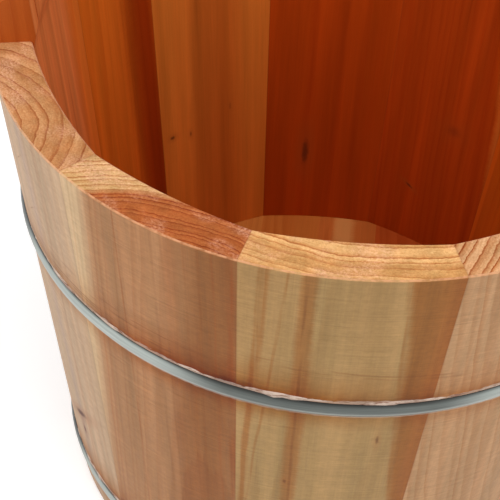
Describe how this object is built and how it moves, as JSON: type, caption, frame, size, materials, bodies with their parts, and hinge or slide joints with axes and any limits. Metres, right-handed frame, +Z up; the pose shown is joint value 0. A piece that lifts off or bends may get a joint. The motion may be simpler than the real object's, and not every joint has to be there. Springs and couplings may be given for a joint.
{
  "type": "wooden foot bath bucket",
  "caption": "Tapered coopered wooden tub for soaking the feet, with a planked bottom, two raised side ears with hand holes and half-round wire hoops.",
  "frame": {"origin": "middle of the foot, on the surface that the bucket stands on", "axes": "+Z up along the tub's axis; the ears lie on the X axis; the front of the picture is towards -Y"},
  "size_m": [0.3908, 0.3798, 0.382],
  "materials": {
    "wood_pink": "matt clear varnish, pinkish tan",
    "wood_brown": "matt clear varnish, pinkish brown",
    "wood_tan": "matt clear varnish, olive tan",
    "wood_board": "clear varnish, red-brown",
    "bamboo": "bare",
    "hoop_wire": "dull drawn steel wire"
  },
  "bodies": {
    "root": {"stave_front_1": "wood_pink", "stave_front_2": "wood_brown", "stave_front_3": "wood_tan", "stave_front_4": "wood_pink", "stave_front_5": "wood_tan", "ear_right": "wood_brown", "stave_back_1": "wood_tan", "stave_back_2": "wood_pink", "stave_back_3": "wood_brown", "stave_back_4": "wood_pink", "stave_back_5": "wood_tan", "ear_left": "wood_brown", "board_1": "wood_board", "board_2": "wood_board", "board_3": "wood_board", "board_4": "wood_board", "board_5": "wood_board", "board_6": "wood_board", "hoop_upper": "hoop_wire", "hoop_lower": "hoop_wire", "stave_dowels": "bamboo", "board_dowels": "bamboo"}
  },
  "joints": []
}
